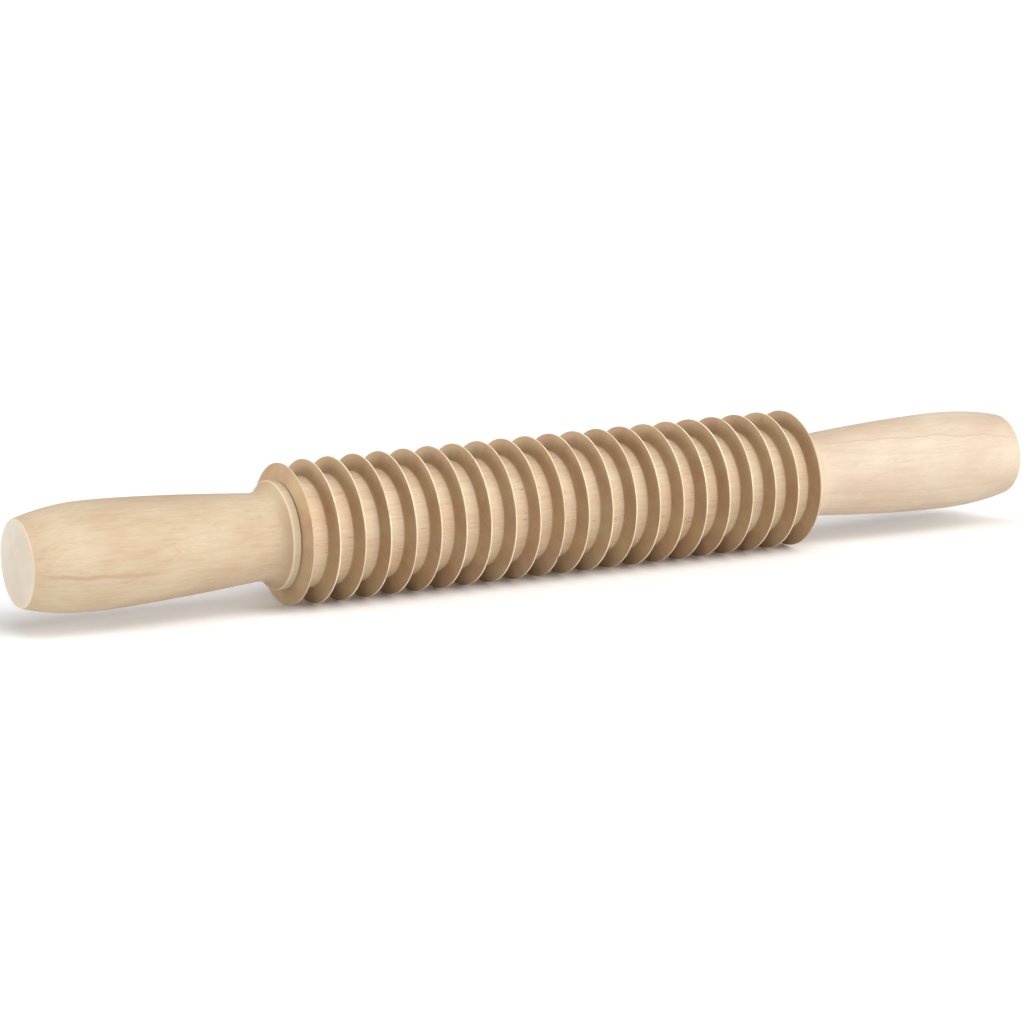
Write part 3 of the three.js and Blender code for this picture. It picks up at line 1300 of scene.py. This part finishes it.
    def dent_rims(self, piece: bpy.types.Object) -> None:
        """Presses the nicks into the rims.

        Args:
            piece: The roller, with its modifiers applied.
        """
        for nick in self.nicks:
            centre = Vector((
                self.blade_places[nick.blade - 1],
                -self.blade_radius * math.cos(nick.angle),
                self.blade_radius * math.sin(nick.angle),
            ))
            for vertex in piece.data.vertices:
                away = (vertex.co - centre).length / nick.width
                if away < 1:
                    inward = Vector((0, -vertex.co.y, -vertex.co.z)).normalized()
                    vertex.co += inward * nick.depth * (1 - away * away) ** 2

    def build(self) -> None:
        """Turns, wears and dresses the roller."""
        piece = turn("beech_roller", self.outline(), self.facets)
        for unevenness in self.unevenness:
            unevenness.leave_on(piece)
        settle(piece)
        self.dent_rims(piece)
        even_shading(piece)
        place_piece(piece, beech(self.finish()), "roller", ["roller_core", *self.blades])


@dataclass(frozen=True)
class Swell:
    """How a handle swells from its neck to its flat end.

    Args:
        belly_radius: The belly, its thickest place.
        belly_from_tip: From the belly to the flat end.
        run_up: How far before the belly it is nearly as thick.
        shoulder: How far after the belly it is nearly as thick.
        tip_radius: The flat end.
        tip_rounding: The rounding of the flat end's edge.
    """

    belly_radius: float
    belly_from_tip: float
    run_up: float
    shoulder: float
    tip_radius: float
    tip_rounding: float


SWELLS = {
    End.LEFT: Swell(
        belly_radius=15 * MM,
        belly_from_tip=20 * MM,
        run_up=16 * MM,
        shoulder=10 * MM,
        tip_radius=12 * MM,
        tip_rounding=0.35 * MM,
    ),
    End.RIGHT: Swell(
        belly_radius=14.5 * MM,
        belly_from_tip=23 * MM,
        run_up=19 * MM,
        shoulder=12.5 * MM,
        tip_radius=11.8 * MM,
        tip_rounding=1.4 * MM,
    ),
}


@dataclass(frozen=True)
class HandleWood:
    """The piece of beech that a handle is turned from.

    Args:
        pale: The wood between growth rings, along the grain.
        late: The wood of a growth ring's dark line.
        fibre: The darker fibres.
        fleck: The short dark ray flecks.
        glint: The short light ray flecks.
        end_pale: Cut ends of the fibres, at their lightest.
        end_deep: Cut ends of the fibres, at their darkest.
        end_olive: The greenish tint of some cut ends.
        sawn_face: The flat end.
        pith: Where the middle of the tree lay, across the grain.
        lean: How far the grain leans from the turning axis.
        slip: A shift along the grain.
        streak: The one darker line that the handle has.
    """

    pale: Colour
    late: Colour
    fibre: Colour
    fleck: Colour
    glint: Colour
    end_pale: Colour
    end_deep: Colour
    end_olive: Colour
    sawn_face: Colour
    pith: tuple[float, float]
    lean: float
    slip: float
    streak: Streak


HANDLE_WOODS = {
    End.LEFT: HandleWood(
        pale=colour(192, 174, 148),
        late=colour(190, 170, 142),
        fibre=colour(184, 164, 136),
        fleck=colour(180, 158, 129),
        glint=colour(199, 182, 156),
        end_pale=colour(194, 172, 142),
        end_deep=colour(182, 158, 129),
        end_olive=colour(188, 167, 134),
        sawn_face=colour(193, 185, 171),
        pith=(30 * MM, -34 * MM),
        lean=math.radians(1.2),
        slip=0.7,
        streak=Streak(
            start=-158 * MM,
            end=-118 * MM,
            angle=math.radians(-10),
            twist=math.radians(-10),
            width=math.radians(3.8),
            waver=math.radians(7),
            strength=0.9,
            tint=colour(176, 148, 118),
        ),
    ),
    End.RIGHT: HandleWood(
        pale=colour(208, 192, 171),
        late=colour(199, 181, 158),
        fibre=colour(201, 184, 162),
        fleck=colour(192, 173, 150),
        glint=colour(211, 196, 176),
        end_pale=colour(210, 190, 162),
        end_deep=colour(200, 179, 151),
        end_olive=colour(204, 184, 154),
        sawn_face=colour(218, 200, 174),
        pith=(-26 * MM, 42 * MM),
        lean=math.radians(-1.6),
        slip=1.9,
        streak=Streak(
            start=90 * MM,
            end=166 * MM,
            angle=math.radians(54),
            twist=math.radians(-26),
            width=math.radians(1.7),
            waver=math.radians(7),
            strength=0.75,
            tint=colour(182, 162, 140),
        ),
    ),
}


@dataclass
class Handle:
    """A turned handle: collar, cove, neck, belly and flat end, with the axle's blind hole.

    Args:
        end: Which end of the pin it is on.
        collar_face: Where its collar faces the roller, from the pin's middle.
        tip: Where its flat end is, from the pin's middle.
        collar_radius: The collar.
        swell: The shape from the neck to the flat end.
        wood: The piece of beech that it is turned from.
        collar_width: The collar's straight land.
        cove_width: From the collar's rim down to the neck.
        cove_bend: Where the cove bends most, as a share of its width from the rim.
        neck_radius: The neck, its thinnest place.
        hole_radius: The blind hole that the axle is glued into.
        hole_depth: The hole's depth from the collar's face.
        hole_rounding: The rounding of the hole's mouth.
        recess_radius: The shallow recess for the thrust washer.
        recess_depth: The recess's depth.
        face_allowance: How far the collar's face is left standing towards the roller.
        face_rounding: The rounding of the two edges of the collar's face.
        rim_rounding: The rounding of the collar's rim, where the cove starts.
        cove_steps: Facets along the cove.
        run_up_steps: Facets from the neck to the belly.
        shoulder_steps: Facets from the belly to the flat end.
        rounding_steps: Facets across each rounded corner.
        facets: Facets round the axis.
        sanding: The unevenness that sanding by hand leaves.
    """

    end: End
    collar_face: float
    tip: float
    collar_radius: float
    swell: Swell
    wood: HandleWood
    collar_width: float = 2.2 * MM
    cove_width: float = 5.5 * MM
    cove_bend: float = 0.24
    neck_radius: float = 12.2 * MM
    hole_radius: float = 4.05 * MM
    hole_depth: float = 44.6 * MM
    hole_rounding: float = 0.2 * MM
    recess_radius: float = 9.3 * MM
    recess_depth: float = 0.8 * MM
    face_allowance: float = 0.1 * MM
    face_rounding: float = 0.15 * MM
    rim_rounding: float = 0.3 * MM
    cove_steps: int = 14
    run_up_steps: int = 24
    shoulder_steps: int = 12
    rounding_steps: int = 5
    facets: int = 160
    sanding: Unevenness = Unevenness("hand_sanding", size=30 * MM, depth=0.12 * MM)

    @classmethod
    def from_frame(cls, end: End) -> "Handle":
        """Takes the handle's length and girth from the frame.

        Args:
            end: Which end of the pin it is on.

        Returns:
            The handle.
        """
        node = end.named("handle")
        low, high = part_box(node)
        near, far = sorted((abs(low[0]), abs(high[0])))
        return cls(
            end=end,
            collar_face=near,
            tip=far,
            collar_radius=full_radius(node, WOOD_FACETS),
            swell=SWELLS[end],
            wood=HANDLE_WOODS[end],
        )

    def finish(self) -> BeechFinish:
        """Describes the handle's wood: one tone of end grain, no blade rims, and two edges worn pale with
        a painted highlight.

        Returns:
            The finish.
        """
        rim = self.collar_face + self.collar_width
        return BeechFinish(
            name=f"{self.end.named('handle')}_beech",
            pale=self.wood.pale,
            late=self.wood.late,
            fibre=self.wood.fibre,
            fleck=self.wood.fleck,
            glint=self.wood.glint,
            end_pale=self.wood.end_pale,
            end_deep=self.wood.end_deep,
            end_olive=self.wood.end_olive,
            sawn_face=self.wood.sawn_face,
            blush=colour(243, 234, 230),
            # The collar's rim and the flat end's edge, worn pale with a painted highlight
            rubbed_and_highlit=colour(226, 208, 180),
            pith=self.wood.pith,
            lean=self.wood.lean,
            ring_pitch=3.4 * MM,
            slip=self.wood.slip,
            rim_radius=BEYOND_PIN,
            rubbed_and_highlit_rings=((rim, self.collar_radius), (self.tip, self.swell.tip_radius)),
            tone_pitch=BEYOND_PIN,
            tool_share=0.05,
            streak=self.wood.streak,
        )

    def outline(self) -> list[Corner]:
        """Lays the handle's outline, from the bottom of its blind hole round to its flat end.

        Returns:
            The corners, as at the right end.
        """
        face = self.collar_face - self.face_allowance
        rim = Corner(self.collar_face + self.collar_width, self.collar_radius, self.rim_rounding)
        neck = Corner(rim.along + self.cove_width, self.neck_radius)
        cove_pull = Corner(rim.along + self.cove_bend * self.cove_width, self.neck_radius)
        belly = Corner(self.tip - self.swell.belly_from_tip, self.swell.belly_radius)
        run_up_pull = Corner(belly.along - self.swell.run_up, belly.radius)
        tip_edge = Corner(self.tip, self.swell.tip_radius, self.swell.tip_rounding)
        shoulder_pull = Corner(belly.along + self.swell.shoulder, belly.radius)
        hole_bottom = self.collar_face + self.hole_depth
        recess_floor = self.collar_face + self.recess_depth
        return [
            Corner(hole_bottom, 0),
            Corner(hole_bottom, self.hole_radius),
            Corner(recess_floor, self.hole_radius, self.hole_rounding),
            Corner(recess_floor, self.recess_radius),
            Corner(face, self.recess_radius, self.face_rounding),
            Corner(face, self.collar_radius, self.face_rounding),
            rim,
            *sweep(rim, cove_pull, neck, self.cove_steps),
            *sweep(neck, run_up_pull, belly, self.run_up_steps),
            *sweep(belly, shoulder_pull, tip_edge, self.shoulder_steps),
            Corner(self.tip, 0),
        ]

    def build(self) -> None:
        """Turns, sands and dresses the handle."""
        node = self.end.named("handle")
        side = self.end.value
        outline = [Corner(side * at.along, at.radius, at.rounding) for at in self.outline()]
        piece = turn(f"beech_{node}", outline, self.facets, self.rounding_steps)
        self.sanding.leave_on(piece)
        even_shading(piece)
        place_piece(piece, beech(self.finish()), "handles", [node])


@dataclass
class Bearing:
    """The axle rod, and at each end of the roller a flanged bushing and a thrust washer.

    Args:
        bore_radius: The running bore of the bushings and washers.
        sleeve_radius: The bushing's sleeve.
        flange_width: The bushing's flange, along the axle.
        rod_chamfer: The chamfer on the rod's ends.
        rod_rounding: The rounding of the chamfer's edges.
        bore_rounding: The rounding of the bushing's bore.
        lead_rounding: The rounding of the sleeve's end, which leads it into its seat.
        flange_rounding: The rounding of the flange's outer face.
        flange_back_rounding: The rounding of the flange's back.
        washer_rounding: The rounding of the washer's sharper edges.
        punched_rounding: The rounding of the washer's edge on the side it was punched from.
        facets: Facets round the axis.
    """

    bore_radius: float = 4.08 * MM
    sleeve_radius: float = 8 * MM
    flange_width: float = 1.5 * MM
    rod_chamfer: float = 0.6 * MM
    rod_rounding: float = 0.15 * MM
    bore_rounding: float = 0.3 * MM
    lead_rounding: float = 0.4 * MM
    flange_rounding: float = 0.35 * MM
    flange_back_rounding: float = 0.2 * MM
    washer_rounding: float = 0.12 * MM
    punched_rounding: float = 0.25 * MM
    facets: int = 96

    def build_rod(self, material: bpy.types.Material) -> None:
        """Turns and dresses the axle rod.

        Args:
            material: Its finish.
        """
        low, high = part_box("axle_rod")
        radius = full_radius("axle_rod", METAL_FACETS)
        outline = [
            Corner(low[0], 0),
            Corner(low[0], radius - self.rod_chamfer, self.rod_rounding),
            Corner(low[0] + self.rod_chamfer, radius, self.rod_rounding),
            Corner(high[0] - self.rod_chamfer, radius, self.rod_rounding),
            Corner(high[0], radius - self.rod_chamfer, self.rod_rounding),
            Corner(high[0], 0),
        ]
        piece = turn("steel_axle_rod", outline, self.facets)
        even_shading(piece)
        place_piece(piece, material, "handles", ["axle_rod"])

    def build_bushing(self, end: End, material: bpy.types.Material) -> None:
        """Turns and dresses a bushing, whose flange is flush with the roller's end.

        Args:
            end: Which end of the roller.
            material: Its finish.
        """
        node = end.named("bushing")
        low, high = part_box(node)
        inner, outer = sorted((low[0], high[0]), key=abs)
        flange_back = outer - end.value * self.flange_width
        flange_radius = full_radius(node, METAL_FACETS)
        outline = [
            Corner(inner, self.bore_radius, self.bore_rounding),
            Corner(inner, self.sleeve_radius, self.lead_rounding),
            Corner(flange_back, self.sleeve_radius),
            Corner(flange_back, flange_radius, self.flange_back_rounding),
            Corner(outer, flange_radius, self.flange_rounding),
            Corner(outer, self.bore_radius, self.bore_rounding),
        ]
        piece = turn(f"nylon_{node}", outline, self.facets)
        even_shading(piece)
        place_piece(piece, material, "roller", [node])

    def build_washer(self, end: End, material: bpy.types.Material) -> None:
        """Turns and dresses a thrust washer.

        Args:
            end: Which end of the roller.
            material: Its finish.
        """
        node = end.named("thrust_washer")
        low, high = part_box(node)
        radius = full_radius(node, METAL_FACETS)
        outline = [
            Corner(low[0], self.bore_radius, self.washer_rounding),
            Corner(low[0], radius, self.punched_rounding),
            Corner(high[0], radius, self.washer_rounding),
            Corner(high[0], self.bore_radius, self.washer_rounding),
        ]
        piece = turn(f"steel_{node}", outline, self.facets)
        even_shading(piece)
        place_piece(piece, material, end.named("washer"), [node])

    def build(self) -> None:
        """Builds the rod, then the bushing and the washer at each end."""
        self.build_rod(scored(DRAWN_STEEL))
        nylon = scored(MOULDED_NYLON)
        steel = scored(STAMPED_STEEL)
        for end in End:
            self.build_bushing(end, nylon)
            self.build_washer(end, steel)


def floor_paint(shade: float) -> bpy.types.Material:
    """Makes the floor's matt paint.

    Args:
        shade: How light it is, from 0 to 1.

    Returns:
        The material.
    """
    material = bpy.data.materials.new("pale_floor")
    material.use_nodes = True
    nodes = material.node_tree.nodes
    links = material.node_tree.links
    nodes.clear()

    surface = nodes.new("ShaderNodeBsdfPrincipled")
    surface.label = "Matt paint"
    output = nodes.new("ShaderNodeOutputMaterial")
    output.label = "Floor"

    frame_nodes(nodes, {"Paint": [surface], "Output": [output]})

    surface.inputs["Base Color"].default_value = (shade, shade, shade, 1)
    surface.inputs["Roughness"].default_value = 0.9
    surface.inputs["Specular IOR Level"].default_value = 0.1

    links.new(surface.outputs["BSDF"], output.inputs["Surface"])
    return material


@dataclass(frozen=True)
class Lamp:
    """A wide, even studio lamp, far from the pin.

    Args:
        name: Its name.
        azimuth: Its direction, from the pin's front round to its right end.
        elevation: Its height above the horizon.
        strength: Its strength.
        width: How wide it looks from the pin.
    """

    name: str
    azimuth: float
    elevation: float
    strength: float
    width: float = math.radians(44)

    def hang(self) -> None:
        """Hangs the lamp and points it at the pin."""
        data = bpy.data.lights.new(self.name, "SUN")
        data.angle = self.width
        data.energy = self.strength
        lamp = bpy.data.objects.new(self.name, data)
        lamp.rotation_euler = (math.pi / 2 - self.elevation, 0, self.azimuth)
        bpy.context.scene.collection.objects.link(lamp)


@dataclass
class Studio:
    """A pale floor, a soft studio and the camera.

    Args:
        azimuth: The camera's direction, from the pin's front round to its left end.
        elevation: The camera's height above the horizon.
        distance: From the camera to the pin.
        side_step: How far right of the view's middle the pin's middle is.
        rise: How far above the view's middle the pin's middle is.
        lens: The camera's focal length, in millimetres on a 36 mm frame.
        farthest: How far the camera sees.
        floor_size: The floor's side.
        floor_shade: How light the floor is, from 0 to 1.
        fill: The strength of the even light from all round.
        lamps: The lamps.
    """

    azimuth: float = math.radians(28.92)
    elevation: float = math.radians(11.79)
    distance: float = 1075.3 * MM
    side_step: float = 8.67 * MM
    rise: float = 2.07 * MM
    lens: float = 132.5
    farthest: float = 100.0
    floor_size: float = 24.0
    floor_shade: float = 0.92
    fill: float = 0.14
    lamps: Sequence[Lamp] = (
        Lamp("key_light", azimuth=math.radians(38), elevation=math.radians(36), strength=2.32),
        Lamp("front_light", azimuth=math.radians(5), elevation=math.radians(12), strength=1.1),
        Lamp("back_left_light", azimuth=math.radians(-106), elevation=math.radians(8), strength=3.15),
        Lamp("high_back_light", azimuth=math.radians(-148), elevation=math.radians(42), strength=0.6),
        Lamp("top_light", azimuth=math.radians(-5), elevation=math.radians(72), strength=1.2),
    )

    def build_camera(self, middle: Vector) -> None:
        """Sets the camera up and makes it the scene's.

        Args:
            middle: The pin's middle.
        """
        data = bpy.data.cameras.new("view")
        data.lens = self.lens
        data.clip_end = self.farthest
        camera = bpy.data.objects.new("view", data)
        camera.rotation_euler = (math.pi / 2 - self.elevation, 0, -self.azimuth)
        turned = camera.rotation_euler.to_matrix()
        camera.location = middle - turned @ Vector((self.side_step, self.rise, -self.distance))
        bpy.context.scene.collection.objects.link(camera)
        bpy.context.scene.camera = camera

    def build_floor(self, height: float) -> None:
        """Lays the floor under the pin.

        Args:
            height: Its height.
        """
        half = self.floor_size / 2
        mesh = bpy.data.meshes.new("pale_floor")
        corners = [(x, y, height) for x, y in ((-half, -half), (half, -half), (half, half), (-half, half))]
        mesh.from_pydata(corners, [], [(0, 1, 2, 3)])
        mesh.materials.append(floor_paint(self.floor_shade))
        floor = bpy.data.objects.new("pale_floor", mesh)
        bpy.context.scene.collection.objects.link(floor)
        floor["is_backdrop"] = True

    def build_fill(self) -> None:
        """Fills the studio with even white light."""
        world = bpy.data.worlds.new("white_studio")
        world.use_nodes = True
        background = world.node_tree.nodes["Background"]
        background.inputs["Color"].default_value = (1, 1, 1, 1)
        background.inputs["Strength"].default_value = self.fill
        bpy.context.scene.world = world

    def build(self, middle: Vector, floor_height: float) -> None:
        """Builds the floor, the lights and the camera.

        Args:
            middle: The pin's middle.
            floor_height: The floor's height.
        """
        self.build_floor(floor_height)
        self.build_fill()
        for lamp in self.lamps:
            lamp.hang()
        bpy.context.scene.view_settings.view_transform = "Standard"
        self.build_camera(middle)


def main() -> None:
    """Builds every piece round the frame, then the studio."""
    logging.basicConfig(level=logging.INFO, format="%(name)s: %(message)s")
    Roller.from_frame().build()
    for end in End:
        Handle.from_frame(end).build()
    Bearing().build()

    low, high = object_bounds()
    cad_low, cad_high = cad_bounds
    Studio().build((Vector(cad_low) + Vector(cad_high)) / 2, low[2])


if __name__ == "__main__":
    main()
